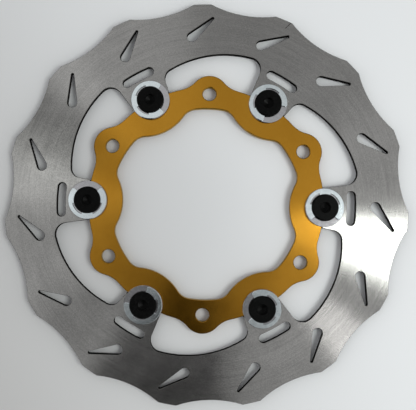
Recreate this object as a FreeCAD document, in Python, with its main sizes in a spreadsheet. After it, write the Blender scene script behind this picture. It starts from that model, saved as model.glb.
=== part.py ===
import FreeCAD, Part

# Semi-floating wave brake disc, 310 mm across: a friction ring and a carrier joined by six bobbin sets.
#
# Millimetres. The origin is the centre of the hub bolt circle, on the carrier's back (mounting) face.
# +Z points out of the front, where the retaining clips are, and +X passes through the first bobbin.
# Sizes are in the Dimensions sheet, and every sketch and feature is bound to them by expressions.

import math
import os

import Sketcher
from FreeCAD import Vector

TOLERANCE = 1e-6
POINTS_PER_WAVE = 12

DIMENSIONS = {
    # Every sixth of the disc is alike in the carrier, the windows, the curved slots and the bobbin sets
    "bobbin_count": 6,
    # Friction ring
    "ring_thickness": 5.0,
    "ring_edge_break": 0.25,
    "tip_radius": 155.0,
    "petal_count": 15,
    "scallop_radius": 85.7,
    "scallop_depth_radius": 149.0,
    "scallop_phase": 8.84,
    "ear_radius": 91.0,
    "notch_clearance": 0.05,
    # Wiping slots: teardrops whose large end is nearer the hub
    "teardrop_phase": 21.0,
    "teardrop_large_reach": 129.75,
    "teardrop_small_reach": 143.8,
    "teardrop_side_step": 8.23,
    "teardrop_large_radius": 3.9,
    "teardrop_small_radius": 1.1,
    # Short curved slots behind the bobbins
    "curved_slot_reach": 111.45,
    "curved_slot_half_width": 3.45,
    "curved_slot_half_angle": 5.0,
    # Tick cut into the front of one petal, from a start point out to the rim
    "tick_phase": 67.5,
    "tick_reach": 149.2,
    "tick_lean": -21.2,
    "tick_length": 8.0,
    "tick_width": 0.5,
    "tick_depth": 0.3,
    # Windows between the ears, each one's sides measured from its middle line
    "window_phase": 30.0,
    "window_leading_angle": 20.1,
    "window_trailing_angle": 20.6,
    "window_inner_reach": 78.0,
    "window_arc_radius": 81.0,
    "window_arc_reach": 35.45,
    "window_arc_side_step": 13.1,
    "window_leading_fillet": 7.7,
    "window_trailing_fillet": 9.0,
    # Carrier
    "carrier_thickness": 5.0,
    "carrier_edge_break": 0.35,
    "carrier_outer_radius": 90.3,
    "carrier_inner_radius": 73.75,
    "carrier_middle_radius": 80.0,
    "lug_phase": 30.0,
    "lug_centre_reach": 84.3,
    "lug_radius": 14.8,
    "lug_fillet": 20.7,
    "bulge_depth_radius": 64.25,
    "bulge_radius": 38.8,
    "bulge_fillet": 11.8,
    "bolt_circle_radius": 85.0,
    "bolt_hole_radius": 5.25,
    # Bobbins: heights are from the carrier's back face
    "bobbin_circle_radius": 90.6,
    "shank_radius": 10.2,
    "flange_radius": 12.5,
    "flange_thickness": 2.0,
    "flange_gap": 0.02,
    "flange_edge_break": 0.4,
    "head_top": 10.4,
    "head_edge_break": 0.9,
    "groove_radius": 7.5,
    "groove_bottom": 7.06,
    "groove_width": 1.6,
    "bore_radius": 3.8,
    "bore_depth": 3.2,
    "bore_cone_depth": 1.4,
    "bore_edge_break": 0.4,
    # Washers and clips
    "washer_radius": 14.8,
    "washer_hole_radius": 10.35,
    "washer_thickness": 1.0,
    "washer_bottom": 6.04,
    "washer_edge_break": 0.15,
    "wave_radius": 14.4,
    "wave_thickness": 0.5,
    "wave_rise": 0.5,
    "wave_count": 3,
    "wave_bottom": 5.02,
    "clip_radius": 14.5,
    "clip_thickness": 1.5,
    "clip_bottom": 7.11,
    "clip_seat_radius": 7.55,
    "clip_cut_radius": 6.55,
    "clip_recess_radius": 11.5,
    "clip_recess_half_angle": 28.0,
    "clip_recess_turn": 50.0,
    "clip_opening_half_angle": 47.5,
    "clip_opening_reach": 18.0,
    "clip_end_fillet": 1.6,
    "clip_edge_break": 0.15,
    # Direction that each clip's opening faces, because the bobbins turn freely
    "clip_turn_1": 271.0,
    "clip_turn_2": 303.0,
    "clip_turn_3": 8.0,
    "clip_turn_4": 92.0,
    "clip_turn_5": 126.0,
    "clip_turn_6": 174.0,
}


def make_sheet(doc):
    """Puts every driving dimension in a sheet, one row each: its name, and its value under an alias."""
    sheet = doc.addObject("Spreadsheet::Sheet", "Dimensions")
    for row, (alias, value) in enumerate(DIMENSIONS.items(), start=1):
        sheet.set(f"A{row}", alias)
        sheet.set(f"B{row}", str(value))
        sheet.setAlias(f"B{row}", alias)
    doc.recompute()
    return sheet


def sized(expression):
    """Turns the sheet's names in an expression into references: {name} becomes Dimensions.name."""
    return expression.replace("{", "Dimensions.").replace("}", "")


# Sketch helpers. A coordinate is an expression, and "0" puts the point on the sketch's own axis.

def new_sketch(body, name, turn=None, height=None, role="XY_Plane"):
    """A sketch on one of the body's own planes, turned about the plane's normal and raised along it."""
    sketch = body.newObject("Sketcher::SketchObject", name)
    plane = next(part for part in body.Origin.OriginFeatures if part.Role == role)
    sketch.AttachmentSupport = [(plane, "")]
    sketch.MapMode = "FlatFace"
    if turn:
        sketch.setExpression(".AttachmentOffset.Rotation.Angle", sized(turn))
    if height:
        sketch.setExpression(".AttachmentOffset.Base.z", sized(height))
    return sketch


def number(sketch, expression):
    """The present value of an expression."""
    return float(sketch.evalExpression(sized(expression)))


def drive(sketch, kind, places, expression):
    """Adds a dimension to the sketch and binds it to the expression."""
    value = number(sketch, expression)
    if kind == "Angle":
        value = math.radians(value)
    index = sketch.addConstraint(Sketcher.Constraint(kind, *places, value))
    sketch.setExpression(f"Constraints[{index}]", sized(expression))


def pin(sketch, edge, point, across, along):
    """Holds a point of an edge at (across, along) from the sketch's origin."""
    if across == "0":
        sketch.addConstraint(Sketcher.Constraint("PointOnObject", edge, point, -2))
    else:
        drive(sketch, "DistanceX", (-1, 1, edge, point), across)
    if along == "0":
        sketch.addConstraint(Sketcher.Constraint("PointOnObject", edge, point, -1))
    else:
        drive(sketch, "DistanceY", (-1, 1, edge, point), along)


def draw_circle(sketch, across, along, radius):
    """A circle bound in place and size."""
    centre = Vector(number(sketch, across), number(sketch, along), 0)
    edge = sketch.addGeometry(Part.Circle(centre, Vector(0, 0, 1), number(sketch, radius)))
    pin(sketch, edge, 3, across, along)
    drive(sketch, "Radius", (edge,), radius)


def draw_arc(sketch, centre, radius, start, end):
    """An arc from angle start to angle end in radians, anticlockwise, not yet bound."""
    circle = Part.Circle(centre, Vector(0, 0, 1), radius)
    return sketch.addGeometry(Part.ArcOfCircle(circle, start, end))


def draw_polygon(sketch, corners):
    """A closed outline of straight lines whose corners are (across, along) expressions."""
    points = [Vector(number(sketch, across), number(sketch, along), 0) for across, along in corners]
    edges = []
    for start, end in zip(points, points[1:] + points[:1]):
        edges.append(sketch.addGeometry(Part.LineSegment(start, end)))
    for edge, following, (across, along) in zip(edges, edges[1:] + edges[:1], corners):
        sketch.addConstraint(Sketcher.Constraint("Coincident", edge, 2, following, 1))
        pin(sketch, edge, 1, across, along)


def draw_sector(sketch, inner, outer, half_angle):
    """A piece of an annulus about the origin, as far to each side of the X axis as half_angle."""
    half = math.radians(number(sketch, half_angle))
    edges = {}
    for name, radius in (("inner", inner), ("outer", outer)):
        edges[name] = draw_arc(sketch, Vector(), number(sketch, radius), -half, half)
        sketch.addConstraint(Sketcher.Constraint("Coincident", edges[name], 3, -1, 1))
        drive(sketch, "Radius", (edges[name],), radius)
    for point, side, angle in ((1, -half, f"-{half_angle}"), (2, half, half_angle)):
        ray = Vector(math.cos(side), math.sin(side), 0)
        start = ray * number(sketch, inner)
        end = ray * number(sketch, outer)
        line = sketch.addGeometry(Part.LineSegment(start, end))
        sketch.addConstraint(Sketcher.Constraint("Coincident", line, 1, edges["inner"], point))
        sketch.addConstraint(Sketcher.Constraint("Coincident", line, 2, edges["outer"], point))
        sketch.addConstraint(Sketcher.Constraint("PointOnObject", -1, 1, line))
        drive(sketch, "Angle", (line,), angle)


def draw_segment(sketch, centre_reach, radius, chord_reach, keep_outer):
    """A disc centred on the X axis and cut off by a chord at chord_reach, keeping one side of it."""
    centre = Vector(number(sketch, centre_reach), 0, 0)
    size = number(sketch, radius)
    chord = number(sketch, chord_reach)
    half = math.acos((chord - centre.x) / size)
    if keep_outer:
        arc = draw_arc(sketch, centre, size, -half, half)
    else:
        arc = draw_arc(sketch, centre, size, half, 2 * math.pi - half)
    pin(sketch, arc, 3, centre_reach, "0")
    drive(sketch, "Radius", (arc,), radius)
    height = size * math.sin(half)
    start = Vector(chord, height, 0)
    end = Vector(chord, -height, 0)
    line = sketch.addGeometry(Part.LineSegment(start, end))
    sketch.addConstraint(Sketcher.Constraint("Coincident", line, 1, arc, 2 if keep_outer else 1))
    sketch.addConstraint(Sketcher.Constraint("Coincident", line, 2, arc, 1 if keep_outer else 2))
    sketch.addConstraint(Sketcher.Constraint("Vertical", line))
    drive(sketch, "DistanceX", (-1, 1, line, 1), chord_reach)


def draw_teardrop(sketch):
    """Two arcs joined by tangents: the large end inboard on the +Y side, the small end outboard."""
    large = Vector(DIMENSIONS["teardrop_large_reach"], DIMENSIONS["teardrop_side_step"], 0)
    small = Vector(DIMENSIONS["teardrop_small_reach"], -DIMENSIONS["teardrop_side_step"], 0)
    large_radius = DIMENSIONS["teardrop_large_radius"]
    small_radius = DIMENSIONS["teardrop_small_radius"]
    span = small - large
    lean = math.atan2(span.y, span.x)
    spread = math.acos((large_radius - small_radius) / span.Length)
    small_arc = draw_arc(sketch, small, small_radius, lean - spread, lean + spread)
    large_arc = draw_arc(sketch, large, large_radius, lean + spread, lean + 2 * math.pi - spread)
    for side, small_end, large_end in ((1, 2, 1), (-1, 1, 2)):
        normal = Vector(math.cos(lean + side * spread), math.sin(lean + side * spread), 0)
        start = large + normal * large_radius
        end = small + normal * small_radius
        line = sketch.addGeometry(Part.LineSegment(start, end))
        sketch.addConstraint(Sketcher.Constraint("Tangent", line, 1, large_arc, large_end))
        sketch.addConstraint(Sketcher.Constraint("Tangent", line, 2, small_arc, small_end))
    pin(sketch, large_arc, 3, "{teardrop_large_reach}", "{teardrop_side_step}")
    pin(sketch, small_arc, 3, "{teardrop_small_reach}", "-{teardrop_side_step}")
    drive(sketch, "Radius", (large_arc,), "{teardrop_large_radius}")
    drive(sketch, "Radius", (small_arc,), "{teardrop_small_radius}")


def draw_tick(sketch):
    """A narrow bar that starts on the X axis at tick_reach and leans away from that axis by tick_lean."""
    corners = []
    cosine = "cos({tick_lean})"
    sine = "sin({tick_lean})"
    for length, half_width in (("0", "-{tick_width} / 2"), ("{tick_length}", "-{tick_width} / 2"),
                               ("{tick_length}", "{tick_width} / 2"), ("0", "{tick_width} / 2")):
        across = f"{{tick_reach}} + {length} * {cosine} - ({half_width}) * {sine}"
        along = f"{length} * {sine} + ({half_width}) * {cosine}"
        corners.append((across, along))
    draw_polygon(sketch, corners)


def draw_curved_slot(sketch):
    """Two long arcs about the disc's axis, closed by a half-round cap at each end."""
    reach = DIMENSIONS["curved_slot_reach"]
    half_width = DIMENSIONS["curved_slot_half_width"]
    half = math.radians(DIMENSIONS["curved_slot_half_angle"])
    outer = draw_arc(sketch, Vector(), reach + half_width, -half, half)
    inner = draw_arc(sketch, Vector(), reach - half_width, -half, half)
    for arc, sign in ((outer, "+"), (inner, "-")):
        sketch.addConstraint(Sketcher.Constraint("Coincident", arc, 3, -1, 1))
        drive(sketch, "Radius", (arc,), f"{{curved_slot_reach}} {sign} {{curved_slot_half_width}}")
    for side, start, outer_end in ((1, half, 1), (-1, math.pi - half, 2)):
        centre = Vector(reach * math.cos(half), side * reach * math.sin(half), 0)
        cap = draw_arc(sketch, centre, half_width, start, start + math.pi)
        long_arc_end = 2 if side > 0 else 1
        sketch.addConstraint(Sketcher.Constraint("Tangent", cap, outer_end, outer, long_arc_end))
        sketch.addConstraint(Sketcher.Constraint("Tangent", cap, 3 - outer_end, inner, long_arc_end))
        height = "{curved_slot_reach} * sin({curved_slot_half_angle})"
        drive(sketch, "DistanceY", (-1, 1, cap, 3), height if side > 0 else "-" + height)


def draw_window(sketch):
    """Two ear sides that point at the axis, an outer arc that isn't concentric, and a chord inboard."""
    arc_centre = Vector(DIMENSIONS["window_arc_reach"], -DIMENSIONS["window_arc_side_step"], 0)
    arc_radius = DIMENSIONS["window_arc_radius"]
    inner_reach = DIMENSIONS["window_inner_reach"]
    corners = []
    lines = []
    for angle in ("{window_leading_angle}", "-{window_trailing_angle}"):
        side = math.radians(number(sketch, angle))
        ray = Vector(math.cos(side), math.sin(side), 0)
        middle = ray.dot(arc_centre)
        reach = middle + math.sqrt(middle**2 + arc_radius**2 - arc_centre.Length**2)
        corners.append(ray * reach)
        line = sketch.addGeometry(Part.LineSegment(ray * (inner_reach / ray.x), ray * reach))
        sketch.addConstraint(Sketcher.Constraint("PointOnObject", -1, 1, line))
        drive(sketch, "Angle", (line,), angle)
        drive(sketch, "DistanceX", (-1, 1, line, 1), "{window_inner_reach}")
        lines.append(line)
    leading, trailing = (corner - arc_centre for corner in corners)
    start = math.atan2(trailing.y, trailing.x)
    end = math.atan2(leading.y, leading.x)
    arc = draw_arc(sketch, arc_centre, arc_radius, start, end)
    sketch.addConstraint(Sketcher.Constraint("Coincident", lines[0], 2, arc, 2))
    sketch.addConstraint(Sketcher.Constraint("Coincident", lines[1], 2, arc, 1))
    pin(sketch, arc, 3, "{window_arc_reach}", "-{window_arc_side_step}")
    drive(sketch, "Radius", (arc,), "{window_arc_radius}")
    chord_ends = [sketch.getPoint(line, 1) for line in lines]
    chord = sketch.addGeometry(Part.LineSegment(*chord_ends))
    sketch.addConstraint(Sketcher.Constraint("Coincident", chord, 1, lines[0], 1))
    sketch.addConstraint(Sketcher.Constraint("Coincident", chord, 2, lines[1], 1))


# Feature helpers. Each one leaves the new feature as the body's tip.

def pad(body, sketch, height, name):
    """Raises the sketch along +Z by the expression height."""
    feature = body.newObject("PartDesign::Pad", name)
    feature.Profile = sketch
    feature.setExpression("Length", sized(height))
    body.Document.recompute()
    return feature


def cut(body, sketch, name, depth=None):
    """Cuts the sketch right through the body, or down to a depth, and checks that material went."""
    before = body.Shape.Volume
    feature = body.newObject("PartDesign::Pocket", name)
    feature.Profile = sketch
    if depth:
        feature.setExpression("Length", sized(depth))
    else:
        feature.Type = "ThroughAll"
        feature.Midplane = True
    body.Document.recompute()
    if not body.Shape.Volume < before:
        raise RuntimeError(f"{body.Label}: {name} removes nothing")
    return feature


def repeat(body, feature, count, name):
    """Repeats a feature evenly round the disc's axis."""
    before = body.Shape.Volume
    pattern = body.newObject("PartDesign::PolarPattern", name)
    pattern.Originals = [feature]
    pattern.Axis = (feature.Profile[0], ["N_Axis"])
    pattern.Angle = 360
    pattern.setExpression("Occurrences", sized(count))
    body.Tip = pattern
    body.Document.recompute()
    if math.isclose(body.Shape.Volume, before):
        raise RuntimeError(f"{body.Label}: {name} changes nothing")
    return pattern


def spin(body, sketch, name):
    """Turns the sketch once round the body's Z axis."""
    feature = body.newObject("PartDesign::Revolution", name)
    feature.Profile = sketch
    feature.ReferenceAxis = (sketch, ["V_Axis"])
    feature.Angle = 360
    body.Document.recompute()
    return feature


def round_corners(body, radius, near, far, name, accepts=lambda turn: True):
    """Rounds the upright edges that are near to far from the Z axis, in directions that accepts allows."""
    chosen = []
    for index, edge in enumerate(body.Shape.Edges, start=1):
        start = edge.Vertexes[0].Point
        end = edge.Vertexes[-1].Point
        upright = math.hypot(end.x - start.x, end.y - start.y) < TOLERANCE < abs(end.z - start.z)
        reach = math.hypot(start.x, start.y)
        turn = math.degrees(math.atan2(start.y, start.x))
        if upright and near < reach < far and accepts(turn):
            chosen.append(f"Edge{index}")
    base = body.Tip
    feature = body.newObject("PartDesign::Fillet", name)
    feature.Base = (base, chosen)
    feature.setExpression("Radius", sized(radius))
    body.Tip = feature
    body.Document.recompute()


def break_edges(body, size, name):
    """Breaks the sharp edges round both flat sides of a plate."""
    chosen = []
    for index, face in enumerate(body.Shape.Faces, start=1):
        if isinstance(face.Surface, Part.Plane) and abs(face.Surface.Axis.z) > 1 - TOLERANCE:
            chosen.append(f"Face{index}")
    base = body.Tip
    feature = body.newObject("PartDesign::Chamfer", name)
    feature.Base = (base, chosen)
    feature.setExpression("Size", sized(size))
    body.Tip = feature
    body.Document.recompute()


def place_on_bobbin_circle(piece, number_on_disc, height=None, turn=None):
    """Puts a piece, drawn about its own Z axis, at its bobbin's place on the disc."""
    angle = f"(360 / {{bobbin_count}} * {number_on_disc - 1})"
    piece.setExpression(".Placement.Base.x", sized("{bobbin_circle_radius} * cos" + angle))
    piece.setExpression(".Placement.Base.y", sized("{bobbin_circle_radius} * sin" + angle))
    if height:
        piece.setExpression(".Placement.Base.z", sized(height))
    if turn:
        piece.setExpression(".Placement.Rotation.Angle", sized(turn))


def new_body(doc, label):
    """An empty body that is one sub-part."""
    body = doc.addObject("PartDesign::Body", label)
    body.Label = label
    return body


# Sub-parts

def make_friction_ring(doc):
    """Stainless ring: wavy rim, wiping slots, curved slots, and ears with half-round notches."""
    body = new_body(doc, "friction_ring")
    blank = new_sketch(body, "ring_blank")
    draw_circle(blank, "0", "0", "{tip_radius}")
    draw_circle(blank, "0", "0", "{ear_radius}")
    pad(body, blank, "{ring_thickness}", "ring_plate")

    scallop = new_sketch(body, "scallop_outline", "{scallop_phase}")
    draw_circle(scallop, "{scallop_depth_radius} + {scallop_radius}", "0", "{scallop_radius}")
    repeat(body, cut(body, scallop, "scallop"), "{petal_count}", "scallops")

    window = new_sketch(body, "window_outline", "{window_phase}")
    draw_window(window)
    repeat(body, cut(body, window, "window"), "{bobbin_count}", "windows")
    sector = 360 / DIMENSIONS["bobbin_count"]
    near = DIMENSIONS["ear_radius"] + 1
    far = DIMENSIONS["teardrop_large_reach"]
    for side, accepts in (("leading", lambda turn: turn % sector > sector / 2),
                          ("trailing", lambda turn: turn % sector < sector / 2)):
        round_corners(body, f"{{window_{side}_fillet}}", near, far, f"{side}_corners", accepts)

    teardrop = new_sketch(body, "teardrop_outline", "{teardrop_phase}")
    draw_teardrop(teardrop)
    repeat(body, cut(body, teardrop, "wiping_slot"), "{petal_count}", "wiping_slots")

    slot = new_sketch(body, "curved_slot_outline")
    draw_curved_slot(slot)
    repeat(body, cut(body, slot, "curved_slot"), "{bobbin_count}", "curved_slots")

    notch = new_sketch(body, "ring_notch_outline")
    draw_circle(notch, "{bobbin_circle_radius}", "0", "{shank_radius} + {notch_clearance}")
    repeat(body, cut(body, notch, "ring_notch"), "{bobbin_count}", "ring_notches")
    break_edges(body, "{ring_edge_break}", "ring_edge_breaks")

    tick = new_sketch(body, "tick_outline", "{tick_phase}", "{ring_thickness}")
    draw_tick(tick)
    cut(body, tick, "tick", "{tick_depth}")
    return body


def make_carrier(doc):
    """Aluminium centre: a flat ring with bolt lugs outside and a bulge inside each bobbin notch."""
    body = new_body(doc, "carrier")
    blank = new_sketch(body, "carrier_blank")
    draw_circle(blank, "0", "0", "{carrier_outer_radius}")
    draw_circle(blank, "0", "0", "{carrier_inner_radius}")
    pad(body, blank, "{carrier_thickness}", "carrier_plate")

    lug = new_sketch(body, "lug_outline", "{lug_phase}")
    draw_segment(lug, "{lug_centre_reach}", "{lug_radius}", "{carrier_middle_radius}", True)
    repeat(body, pad(body, lug, "{carrier_thickness}", "lug"), "{bobbin_count}", "lugs")
    bulge = new_sketch(body, "bulge_outline")
    bulge_centre = "{bulge_depth_radius} + {bulge_radius}"
    draw_segment(bulge, bulge_centre, "{bulge_radius}", "{carrier_middle_radius}", False)
    repeat(body, pad(body, bulge, "{carrier_thickness}", "bulge"), "{bobbin_count}", "bulges")
    outer = DIMENSIONS["carrier_outer_radius"]
    inner = DIMENSIONS["carrier_inner_radius"]
    round_corners(body, "{lug_fillet}", outer - TOLERANCE, outer + TOLERANCE, "lug_fillets")
    round_corners(body, "{bulge_fillet}", inner - TOLERANCE, inner + TOLERANCE, "bulge_fillets")

    hole = new_sketch(body, "bolt_hole_outline", "{lug_phase}")
    draw_circle(hole, "{bolt_circle_radius}", "0", "{bolt_hole_radius}")
    repeat(body, cut(body, hole, "bolt_hole"), "{bobbin_count}", "bolt_holes")
    notch = new_sketch(body, "carrier_notch_outline")
    draw_circle(notch, "{bobbin_circle_radius}", "0", "{shank_radius} + {notch_clearance}")
    repeat(body, cut(body, notch, "carrier_notch"), "{bobbin_count}", "carrier_notches")
    break_edges(body, "{carrier_edge_break}", "carrier_edge_breaks")
    return body


def make_bobbin(doc, number_on_disc):
    """Turned bobbin: back flange, shank, clip groove, and a front face with a blind bore."""
    body = new_body(doc, f"bobbin_{number_on_disc}")
    section = new_sketch(body, f"bobbin_section_{number_on_disc}", role="XZ_Plane")
    flange_bottom = "-{flange_gap} - {flange_thickness}"
    groove_top = "{groove_bottom} + {groove_width}"
    bore_floor = "{head_top} - {bore_depth}"
    draw_polygon(section, [
        ("0", flange_bottom),
        ("{flange_radius} - {flange_edge_break}", flange_bottom),
        ("{flange_radius}", flange_bottom + " + {flange_edge_break}"),
        ("{flange_radius}", "-{flange_gap}"),
        ("{shank_radius}", "-{flange_gap}"),
        ("{shank_radius}", "{groove_bottom}"),
        ("{groove_radius}", "{groove_bottom}"),
        ("{groove_radius}", groove_top),
        ("{shank_radius}", groove_top),
        ("{shank_radius}", "{head_top} - {head_edge_break}"),
        ("{shank_radius} - {head_edge_break}", "{head_top}"),
        ("{bore_radius} + {bore_edge_break}", "{head_top}"),
        ("{bore_radius}", "{head_top} - {bore_edge_break}"),
        ("{bore_radius}", bore_floor),
        ("0", bore_floor + " - {bore_cone_depth}"),
    ])
    spin(body, section, f"bobbin_turning_{number_on_disc}")
    place_on_bobbin_circle(body, number_on_disc)
    return body


def make_flat_washer(doc, number_on_disc):
    """Plain washer that the clip bears on."""
    body = new_body(doc, f"flat_washer_{number_on_disc}")
    rings = new_sketch(body, f"washer_outline_{number_on_disc}")
    draw_circle(rings, "0", "0", "{washer_radius}")
    draw_circle(rings, "0", "0", "{washer_hole_radius}")
    pad(body, rings, "{washer_thickness}", f"washer_plate_{number_on_disc}")
    break_edges(body, "{washer_edge_break}", f"washer_edge_breaks_{number_on_disc}")
    place_on_bobbin_circle(body, number_on_disc, "{washer_bottom}")
    return body


def wave_edge(sheet, radius):
    """One closed edge of the wave washer: a circle that rises and falls wave_count times."""
    lift = sheet.wave_rise / 2
    steps = POINTS_PER_WAVE * sheet.wave_count
    points = []
    for step in range(steps):
        angle = 2 * math.pi * step / steps
        height = lift * (1 + math.cos(sheet.wave_count * angle))
        points.append(Vector(radius * math.cos(angle), radius * math.sin(angle), height))
    curve = Part.BSplineCurve()
    curve.interpolate(points, PeriodicFlag=True)
    return curve.toShape()


def make_wave_washer(doc, sheet, number_on_disc):
    """Spring washer: a ruled wavy surface between two closed curves, thickened straight up."""
    piece = doc.addObject("Part::Feature", f"wave_washer_{number_on_disc}")
    piece.Label = f"wave_washer_{number_on_disc}"
    inner = wave_edge(sheet, sheet.washer_hole_radius)
    outer = wave_edge(sheet, sheet.wave_radius)
    surface = Part.makeRuledSurface(inner, outer)
    piece.Shape = Part.Solid(surface.extrude(Vector(0, 0, sheet.wave_thickness)))
    place_on_bobbin_circle(piece, number_on_disc, "{wave_bottom}")
    return piece


def make_e_clip(doc, number_on_disc):
    """Clip with an opening to one side, and three inner lobes that stand in the bobbin's groove."""
    body = new_body(doc, f"e_clip_{number_on_disc}")
    rings = new_sketch(body, f"clip_outline_{number_on_disc}")
    draw_circle(rings, "0", "0", "{clip_radius}")
    draw_circle(rings, "0", "0", "{clip_seat_radius}")
    pad(body, rings, "{clip_thickness}", f"clip_plate_{number_on_disc}")
    for side, turn in (("left", "180 - {clip_recess_turn}"), ("right", "180 + {clip_recess_turn}")):
        recess = new_sketch(body, f"clip_{side}_recess_outline_{number_on_disc}", turn)
        draw_sector(recess, "{clip_cut_radius}", "{clip_recess_radius}", "{clip_recess_half_angle}")
        cut(body, recess, f"clip_{side}_recess_{number_on_disc}")
    opening = new_sketch(body, f"clip_opening_outline_{number_on_disc}")
    draw_sector(opening, "{clip_cut_radius}", "{clip_opening_reach}", "{clip_opening_half_angle}")
    cut(body, opening, f"clip_opening_{number_on_disc}")
    rim = DIMENSIONS["clip_radius"]
    near = rim - TOLERANCE
    far = rim + TOLERANCE
    round_corners(body, "{clip_end_fillet}", near, far, f"clip_ends_{number_on_disc}")
    break_edges(body, "{clip_edge_break}", f"clip_edge_breaks_{number_on_disc}")
    place_on_bobbin_circle(body, number_on_disc, "{clip_bottom}", f"{{clip_turn_{number_on_disc}}}")
    return body


def check(doc, pieces):
    """Stops before anything is written if an object failed or a piece isn't one valid solid."""
    for item in doc.Objects:
        if "Invalid" in item.State or "Error" in item.State:
            raise RuntimeError(f"{item.Label} failed: {item.State}")
    for piece in pieces:
        shape = piece.Shape
        if shape.isNull() or not shape.isValid() or len(shape.Solids) != 1:
            raise RuntimeError(f"{piece.Label} isn't one valid solid")


def main():
    doc = FreeCAD.newDocument("brake_disc")
    sheet = make_sheet(doc)
    pieces = [make_friction_ring(doc), make_carrier(doc)]
    for number_on_disc in range(1, DIMENSIONS["bobbin_count"] + 1):
        pieces.append(make_bobbin(doc, number_on_disc))
        pieces.append(make_wave_washer(doc, sheet, number_on_disc))
        pieces.append(make_flat_washer(doc, number_on_disc))
        pieces.append(make_e_clip(doc, number_on_disc))
    doc.recompute()
    check(doc, pieces)
    os.makedirs("parts", exist_ok=True)
    for piece in pieces:
        piece.Shape.exportStep(f"parts/{piece.Label}.step")
        box = piece.Shape.BoundBox
        print(f"{piece.Label}: {piece.Shape.Volume:.1f} mm3, Z {box.ZMin:.2f} to {box.ZMax:.2f}")


main()
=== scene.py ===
"""Looks of the floating brake disc: every CAD node keeps its shape and gets a finished material.

Metres, in the CAD frame: +Z out of the disc's front, +X through the first bobbin. The disc lies on its
bobbin flanges on a pale floor, under soft studio light, seen from almost straight above its front.
"""
import math

import bpy
from mathutils import Matrix, Vector


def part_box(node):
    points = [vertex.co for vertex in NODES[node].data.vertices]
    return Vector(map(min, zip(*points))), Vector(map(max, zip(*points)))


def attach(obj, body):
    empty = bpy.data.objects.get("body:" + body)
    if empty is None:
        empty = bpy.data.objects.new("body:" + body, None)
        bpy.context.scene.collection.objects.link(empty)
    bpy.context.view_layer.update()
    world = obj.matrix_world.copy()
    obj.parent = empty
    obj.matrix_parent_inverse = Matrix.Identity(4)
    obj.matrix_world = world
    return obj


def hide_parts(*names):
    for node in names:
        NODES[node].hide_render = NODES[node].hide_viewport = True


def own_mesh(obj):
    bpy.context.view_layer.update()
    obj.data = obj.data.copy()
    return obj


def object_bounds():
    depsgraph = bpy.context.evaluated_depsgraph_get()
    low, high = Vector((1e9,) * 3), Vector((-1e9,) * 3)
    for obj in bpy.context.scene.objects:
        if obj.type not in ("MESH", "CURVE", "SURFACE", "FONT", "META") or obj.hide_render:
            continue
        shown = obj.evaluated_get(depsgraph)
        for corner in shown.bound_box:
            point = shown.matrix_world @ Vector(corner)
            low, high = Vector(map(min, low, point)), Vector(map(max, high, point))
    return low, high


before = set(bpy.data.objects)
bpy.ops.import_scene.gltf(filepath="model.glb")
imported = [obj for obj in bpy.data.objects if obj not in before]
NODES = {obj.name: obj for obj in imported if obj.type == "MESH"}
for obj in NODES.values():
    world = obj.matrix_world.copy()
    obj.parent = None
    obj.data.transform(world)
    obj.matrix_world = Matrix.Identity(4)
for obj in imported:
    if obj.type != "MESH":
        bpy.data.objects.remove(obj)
cad_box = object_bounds()

MM = 0.001
BOBBIN_NUMBERS = range(1, 7)
DISC_AXIS = (0.0, 0.0)

# The ring's wavy outer wall lies beyond this radius, and every other wall lies inside it.
RIM_START = 147.5 * MM

# Each small steel part's material name, dull tone, bright tone and roughness.
STEEL_FINISHES = {
    "e_clip": ("zinc_clip", (0.70, 0.78, 0.80), (0.82, 0.88, 0.89), 0.14),
    "flat_washer": ("zinc_washer", (0.42, 0.415, 0.425), (0.53, 0.525, 0.535), 0.15),
    "wave_washer": ("spring_steel", (0.30, 0.29, 0.28), (0.42, 0.41, 0.40), 0.40),
}

# The floor's colour holds painted light, paler along one direction, and a painted shade, a little darker
# around one spot.
FLOOR_HALF_WIDTH = 6.0
FLOOR_PAINTED_LIGHT_DIRECTION = (0.85, 0.53, 0.0)
FLOOR_PAINTED_SHADE_SPOT = (-0.05, -0.01, 0.0)

# How far the lamps stand from the disc's centre.
LAMP_DISTANCE = 1.1

# Light and reflections see a room with uneven walls. The camera sees a plain backdrop in its place.
ROOM_COLOUR = (0.955, 0.965, 0.98)
ROOM_LEVEL = 0.72
BACKDROP_LEVEL = 0.62

# Paler and darker stretches of the room's walls: azimuth, outer and inner half-width in degrees, gain.
WALL_TONES = (
    (68, 36, 22, -0.25),
    (137, 7, 3, 0.34),
    (151, 13, 7, -0.44),
    (172, 8, 4, 0.45),
    (-158, 9, 5, 0.22),
    (-129, 6, 3, 0.24),
    (-142, 6, 3, -0.12),
    (-60, 20, 12, 0.15),
)

# The camera's turn about Z in degrees, the slope of its view from straight down towards the picture's
# right and top, and the sideways and upward shift of the view as parts of its distance.
CAMERA_DISTANCE = 0.440
CAMERA_LENS_MM = 49.63
CAMERA_TURN = 1.85
CAMERA_SLOPE = (-0.00985, 0.0328)
CAMERA_SHIFT = (-0.00364, 0.00197)
CAMERA_TARGET = (0.0, 0.0, 5 * MM)


# Node helpers ---------------------------------------------------------------------------------------

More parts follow.
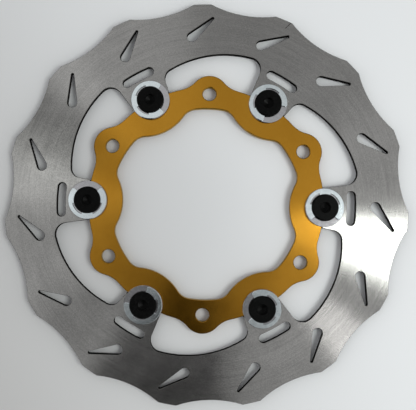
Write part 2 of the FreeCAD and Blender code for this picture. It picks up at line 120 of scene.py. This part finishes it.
class Graph:
    """Builds one material's or world's nodes. A value is a number, a colour, or another node's socket."""

    def __init__(self, owner):
        owner.use_nodes = True
        self.tree = owner.node_tree
        self.tree.nodes.clear()

    def node(self, kind, settings=None, **inputs):
        """A node with its settings, and its inputs set or linked by name (spaces as underscores)."""
        made = self.tree.nodes.new(kind)
        for key, value in (settings or {}).items():
            setattr(made, key, value)
        for key, value in inputs.items():
            self.feed(made.inputs[key.replace("_", " ")], value)
        return made

    def feed(self, socket, value):
        """Links another node's socket to this one, or sets this one's own value."""
        if isinstance(value, bpy.types.NodeSocket):
            self.tree.links.new(value, socket)
        elif isinstance(value, tuple) and len(value) == 3 and socket.type == "RGBA":
            socket.default_value = (*value, 1.0)
        else:
            socket.default_value = value

    def math(self, operation, *values):
        made = self.node("ShaderNodeMath", {"operation": operation})
        for socket, value in zip(made.inputs, values):
            self.feed(socket, value)
        return made.outputs[0]

    def vector(self, operation, *values):
        made = self.node("ShaderNodeVectorMath", {"operation": operation})
        for socket, value in zip(made.inputs, values):
            self.feed(socket, value)
        gives_number = operation in ("LENGTH", "DISTANCE", "DOT_PRODUCT")
        return made.outputs["Value" if gives_number else "Vector"]

    def combine(self, x, y, z):
        return self.node("ShaderNodeCombineXYZ", X=x, Y=y, Z=z).outputs[0]

    def split(self, value):
        return self.node("ShaderNodeSeparateXYZ", Vector=value).outputs

    def ramp(self, value, low, high, start=0.0, end=1.0):
        """Maps value from low..high to start..end, smoothly and clamped."""
        made = self.node("ShaderNodeMapRange", {"interpolation_type": "SMOOTHSTEP"}, Value=value)
        made.inputs["From Min"].default_value = low
        made.inputs["From Max"].default_value = high
        made.inputs["To Min"].default_value = start
        made.inputs["To Max"].default_value = end
        return made.outputs["Result"]

    def blend(self, *parts):
        """Adds up values, each times its share."""
        total = 0.0
        for value, share in parts:
            total = self.math("ADD", total, self.math("MULTIPLY", value, share))
        return total

    def mix(self, factor, first, second):
        """Mixes two colours."""
        made = self.node("ShaderNodeMix", {"data_type": "RGBA"})
        self.feed(made.inputs["Factor"], factor)
        first_colour, second_colour = [socket for socket in made.inputs if socket.type == "RGBA"]
        self.feed(first_colour, first)
        self.feed(second_colour, second)
        return next(socket for socket in made.outputs if socket.type == "RGBA")

    def noise(self, where, scale, detail, roughness):
        made = self.node("ShaderNodeTexNoise", Vector=where, Scale=scale, Detail=detail, Roughness=roughness)
        return made.outputs["Fac"]

    def bump(self, height, distance, strength):
        made = self.node("ShaderNodeBump", Height=height, Distance=distance, Strength=strength)
        return made.outputs["Normal"]

    def surface(self, **inputs):
        """Ends a material in a Principled shader with these inputs."""
        shader = self.node("ShaderNodeBsdfPrincipled", **inputs)
        self.node("ShaderNodeOutputMaterial", Surface=shader.outputs["BSDF"])


def new_material(name):
    material = bpy.data.materials.new(name)
    return material, Graph(material)


def place(graph):
    """Object coordinates, which are the CAD frame's, in metres."""
    return graph.node("ShaderNodeTexCoord").outputs["Object"]


def flatten(graph, value):
    """A vector without its upright part."""
    return graph.vector("MULTIPLY", value, (1.0, 1.0, 0.0))


def outward(graph, value):
    """The level unit vector away from the disc's axis."""
    return graph.vector("NORMALIZE", flatten(graph, value))


def wall_mask(graph):
    """1 on upright walls, 0 on the flat front and back."""
    normal = graph.node("ShaderNodeNewGeometry").outputs["Normal"]
    upright = graph.math("ABSOLUTE", graph.split(normal)[2])
    return graph.ramp(upright, 0.85, 0.60)


def sunk_mask(graph, where, face_height):
    """1 about 0.3 mm below a face, where the shallow tick has its bottom, and 0 on the face and deeper."""
    depth = graph.math("SUBTRACT", face_height, graph.split(where)[2])
    below_face = graph.ramp(depth, 0.12 * MM, 0.22 * MM)
    near_face = graph.ramp(depth, 0.40 * MM, 0.60 * MM, 1.0, 0.0)
    return graph.math("MULTIPLY", below_face, near_face)


def polar(graph, where, centre):
    """Distance from an upright axis, and the angle about it."""
    local = flatten(graph, graph.vector("SUBTRACT", where, (*centre, 0.0)))
    x, y, _ = graph.split(local)
    return graph.vector("LENGTH", local), graph.math("ARCTAN2", y, x)


def round_grain(graph, where, centre, fineness, stretch, detail, roughness):
    """Noise drawn out along circles about an axis: fineness across them, stretch along them."""
    radius, angle = polar(graph, where, centre)
    across = graph.math("MULTIPLY", radius, fineness)
    turn_x = graph.math("MULTIPLY", graph.math("COSINE", angle), stretch)
    turn_y = graph.math("MULTIPLY", graph.math("SINE", angle), stretch)
    return graph.noise(graph.combine(across, turn_x, turn_y), 1.0, detail, roughness)


# Materials ------------------------------------------------------------------------------------------

def stainless():
    """Ground stainless steel: fine circular grain, faint blotches, and walls dark as rough-cut steel and
    painted darker still as shade.
    """
    material, g = new_material("ground_stainless")
    where = place(g)
    grain = round_grain(g, where, DISC_AXIS, fineness=2400.0, stretch=3.0, detail=3.0, roughness=0.65)
    bands = round_grain(g, where, DISC_AXIS, fineness=260.0, stretch=1.2, detail=3.0, roughness=0.6)
    blotches = g.noise(where, scale=55.0, detail=4.0, roughness=0.6)
    speckle = g.noise(where, scale=1050.0, detail=2.0, roughness=0.6)
    tone = g.blend((grain, 0.34), (bands, 0.12), (speckle, 0.36), (blotches, 0.18))
    face_colour = g.mix(g.ramp(tone, 0.34, 0.66), (0.272, 0.268, 0.257), (0.428, 0.419, 0.402))
    rim = g.ramp(polar(g, where, DISC_AXIS)[0], RIM_START, RIM_START + MM)
    # Walls, and the shallow tick's bottom, take a dark colour: rough-cut steel, painted darker still as
    # shade, darkest on the walls inside the rim.
    dark_and_shaded_wall_colour = g.mix(rim, (0.012, 0.0115, 0.011), (0.050, 0.048, 0.046))
    wall = g.math("MAXIMUM", wall_mask(g), sunk_mask(g, where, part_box("friction_ring")[1].z))
    face_roughness = g.ramp(g.blend((blotches, 0.6), (speckle, 0.4)), 0.3, 0.7, 0.21, 0.26)
    height = g.blend((grain, 0.7), (speckle, 0.3))
    g.surface(
        Base_Color=g.mix(wall, face_colour, dark_and_shaded_wall_colour),
        Metallic=g.math("SUBTRACT", 1.0, wall),
        Roughness=g.math("ADD", face_roughness, g.math("MULTIPLY", wall, 0.15)),
        Specular_IOR_Level=0.0,
        Anisotropic=1.0,
        Tangent=outward(g, where),
        Normal=g.bump(height, distance=0.02 * MM, strength=0.22),
    )
    return material


def gold():
    """Satin gold anodising: a slightly clouded tone with very fine grain, and walls painted darker as shade.
    """
    material, g = new_material("gold_anodised")
    where = place(g)
    cloud = g.noise(where, scale=40.0, detail=3.0, roughness=0.55)
    stretched = g.vector("MULTIPLY", where, (2600.0, 240.0, 2600.0))
    grain = g.noise(stretched, scale=1.0, detail=2.0, roughness=0.6)
    tone = g.blend((cloud, 0.6), (grain, 0.4))
    face_colour = g.mix(g.ramp(tone, 0.3, 0.7), (0.49, 0.230, 0.0215), (0.555, 0.272, 0.029))
    g.surface(
        # Painted shade: the walls' colour is darkened towards dark brown.
        Base_Color=g.mix(g.math("MULTIPLY", wall_mask(g), 0.8), face_colour, (0.13, 0.055, 0.009)),
        Metallic=1.0,
        Roughness=g.ramp(cloud, 0.3, 0.7, 0.155, 0.180),
        Specular_Tint=(1.0, 0.80, 0.38),
        Anisotropic=0.8,
        Tangent=outward(g, where),
        Normal=g.bump(grain, distance=0.02 * MM, strength=0.25),
    )
    return material


def black(centre):
    """Hard black anodising on a turned piece, with faint turning marks about its own axis."""
    material, g = new_material("black_anodised")
    where = place(g)
    marks = round_grain(g, where, centre, fineness=5200.0, stretch=0.4, detail=2.0, roughness=0.6)
    dust = g.noise(where, scale=700.0, detail=3.0, roughness=0.6)
    g.surface(
        Base_Color=g.mix(g.ramp(dust, 0.45, 0.75), (0.0015, 0.0016, 0.0015), (0.0045, 0.0046, 0.0045)),
        Roughness=g.ramp(dust, 0.3, 0.7, 0.30, 0.42),
        Specular_IOR_Level=0.06,
        Normal=g.bump(marks, distance=0.02 * MM, strength=0.5),
    )
    return material


def steel(name, centre, dull, bright, roughness):
    """A small stamped steel part: slightly clouded, with fine marks around its own axis."""
    material, g = new_material(name)
    where = place(g)
    cloud = g.noise(where, scale=420.0, detail=3.0, roughness=0.5)
    marks = round_grain(g, where, centre, fineness=2600.0, stretch=6.0, detail=3.0, roughness=0.65)
    tone = g.blend((cloud, 0.65), (marks, 0.35))
    g.surface(
        Base_Color=g.mix(g.ramp(tone, 0.25, 0.75), dull, bright),
        Metallic=1.0,
        Roughness=g.ramp(cloud, 0.3, 0.7, roughness - 0.02, roughness + 0.03),
        Normal=g.bump(marks, distance=0.03 * MM, strength=0.4),
    )
    return material


def floor_board():
    """Matt off-white board, paler along one direction as painted light, and darker around one spot as
    painted shade.
    """
    material, g = new_material("floor_board")
    where = place(g)
    fibre = g.noise(where, scale=600.0, detail=3.0, roughness=0.6)
    # Painted light: the board's colour turns paler along one direction.
    painted_light = g.ramp(g.vector("DOT_PRODUCT", where, FLOOR_PAINTED_LIGHT_DIRECTION), -0.32, 0.12)
    colour = g.mix(painted_light, (0.52, 0.515, 0.505), (0.85, 0.862, 0.87))
    # Painted shade: the board's colour darkens around one spot.
    shade = g.ramp(g.vector("DISTANCE", where, FLOOR_PAINTED_SHADE_SPOT), 0.03, 0.15, 0.88, 1.0)
    g.surface(
        Base_Color=g.vector("MULTIPLY", colour, g.combine(shade, shade, shade)),
        Roughness=0.85,
        Specular_IOR_Level=0.15,
        Normal=g.bump(fibre, distance=0.05 * MM, strength=0.2),
    )
    return material


def dress(node, material):
    """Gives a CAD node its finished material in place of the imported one."""
    materials = NODES[node].data.materials
    materials.clear()
    materials.append(material)


def dress_all():
    dress("friction_ring", stainless())
    dress("carrier", gold())
    for number in BOBBIN_NUMBERS:
        low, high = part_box(f"bobbin_{number}")
        middle = (low + high) / 2
        centre = (middle.x, middle.y)
        dress(f"bobbin_{number}", black(centre))
        for part, (name, dull, bright, roughness) in STEEL_FINISHES.items():
            dress(f"{part}_{number}", steel(name, centre, dull, bright, roughness))


# Springs --------------------------------------------------------------------------------------------

def make_wave_springs():
    """Each wave washer flattens as the ring floats up to it; a copy of it with its own mesh, under its
    bobbin set's body, stands in its place.
    """
    for number in BOBBIN_NUMBERS:
        node = f"wave_washer_{number}"
        spring = NODES[node].copy()
        spring.name = f"wave_spring_{number}"
        spring.data = NODES[node].data.copy()
        bpy.context.scene.collection.objects.link(spring)
        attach(spring, f"bobbin_set_{number}")
        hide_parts(node)
        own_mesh(spring)


# Stage ----------------------------------------------------------------------------------------------

def make_floor():
    """A level board that touches the lowest point of the disc."""
    half = FLOOR_HALF_WIDTH
    height = cad_box[0][2]
    corners = [(-half, -half, height), (half, -half, height), (half, half, height), (-half, half, height)]
    mesh = bpy.data.meshes.new("floor")
    mesh.from_pydata(corners, [], [(0, 1, 2, 3)])
    mesh.materials.append(floor_board())
    floor = bpy.data.objects.new("floor", mesh)
    bpy.context.scene.collection.objects.link(floor)


def pointing(azimuth, elevation):
    """The unit vector towards an azimuth from +X and an elevation above the floor, in degrees."""
    turn, rise = math.radians(azimuth), math.radians(elevation)
    return Vector((math.cos(rise) * math.cos(turn), math.cos(rise) * math.sin(turn), math.sin(rise)))


def add_lamp(name, azimuth, elevation, size, power, colour):
    """A soft rectangular light aimed at the disc's centre."""
    direction = pointing(azimuth, elevation)
    lamp = bpy.data.lights.new(name, "AREA")
    lamp.shape = "RECTANGLE"
    lamp.size, lamp.size_y = size
    lamp.energy = power
    lamp.color = colour
    holder = bpy.data.objects.new(name, lamp)
    holder.location = direction * LAMP_DISTANCE
    holder.rotation_euler = direction.to_track_quat("Z", "Y").to_euler()
    bpy.context.scene.collection.objects.link(holder)


def make_lamps():
    """Two windows on the right."""
    add_lamp("key", azimuth=-8.8, elevation=57, size=(0.18, 0.42), power=3.5, colour=(0.96, 1.0, 0.97))
    add_lamp("second", azimuth=-40.4, elevation=51, size=(0.145, 0.34), power=0.90, colour=(1.0, 1.0, 1.0))


def lobe(graph, direction, centre, outer, inner):
    """1 within inner degrees of a centre direction, falling to 0 at outer degrees."""
    closeness = graph.vector("DOT_PRODUCT", direction, centre)
    return graph.ramp(closeness, math.cos(math.radians(outer)), math.cos(math.radians(inner)))


def room_level(graph, direction):
    """The room's brightness: uneven walls, and dark where the photographer stands and leans over."""
    around = outward(graph, direction)
    uneven = graph.blend(*[
        (lobe(graph, around, pointing(azimuth, 0), outer, inner), gain)
        for azimuth, outer, inner, gain in WALL_TONES
    ])
    below_ceiling = graph.ramp(graph.split(direction)[2], 0.962, 0.986, 1.0, 0.0)
    level = graph.math("ADD", ROOM_LEVEL, graph.math("MULTIPLY", uneven, below_ceiling))
    standing = lobe(graph, around, pointing(-104.5, 0), outer=24, inner=19)
    leaning = lobe(graph, direction, pointing(-109, 79), outer=18, inner=4)
    leaning = graph.math("MULTIPLY", leaning, 0.64)
    unshaded = graph.math("SUBTRACT", 1.0, graph.math("MAXIMUM", standing, leaning))
    return graph.math("MULTIPLY", level, unshaded)


def make_room():
    """Soft surroundings, which the camera itself sees as a plain backdrop."""
    world = bpy.data.worlds.new("studio")
    bpy.context.scene.world = world
    g = Graph(world)
    direction = g.node("ShaderNodeTexCoord").outputs["Generated"]
    lighting = g.node("ShaderNodeBackground", Color=ROOM_COLOUR, Strength=room_level(g, direction))
    backdrop = g.node("ShaderNodeBackground", Color=ROOM_COLOUR, Strength=BACKDROP_LEVEL)
    seen_by_camera = g.node("ShaderNodeLightPath").outputs["Is Camera Ray"]
    both = g.node("ShaderNodeMixShader", Fac=seen_by_camera)
    g.feed(both.inputs[1], lighting.outputs[0])
    g.feed(both.inputs[2], backdrop.outputs[0])
    g.node("ShaderNodeOutputWorld", Surface=both.outputs[0])


def make_camera():
    """Above the disc's front, a little towards the bottom of the picture."""
    turn = math.radians(CAMERA_TURN)
    right = Vector((math.cos(turn), math.sin(turn), 0))
    up = Vector((-math.sin(turn), math.cos(turn), 0))
    forward = (right * CAMERA_SLOPE[0] + up * CAMERA_SLOPE[1] + Vector((0, 0, -1))).normalized()
    side = forward.cross(up).normalized()
    top = side.cross(forward)
    shift = side * CAMERA_SHIFT[0] + top * CAMERA_SHIFT[1]
    spot = Vector(CAMERA_TARGET) - (shift + forward) * CAMERA_DISTANCE
    camera = bpy.data.cameras.new("camera")
    camera.sensor_width = 36.0
    camera.lens = CAMERA_LENS_MM
    camera.clip_start = 10 * MM
    holder = bpy.data.objects.new("camera", camera)
    holder.matrix_world = Matrix.Translation(spot) @ Matrix((side, top, -forward)).transposed().to_4x4()
    bpy.context.scene.collection.objects.link(holder)
    bpy.context.scene.camera = holder


dress_all()
make_wave_springs()
make_floor()
make_lamps()
make_room()
make_camera()
bpy.context.scene.view_settings.view_transform = "Standard"
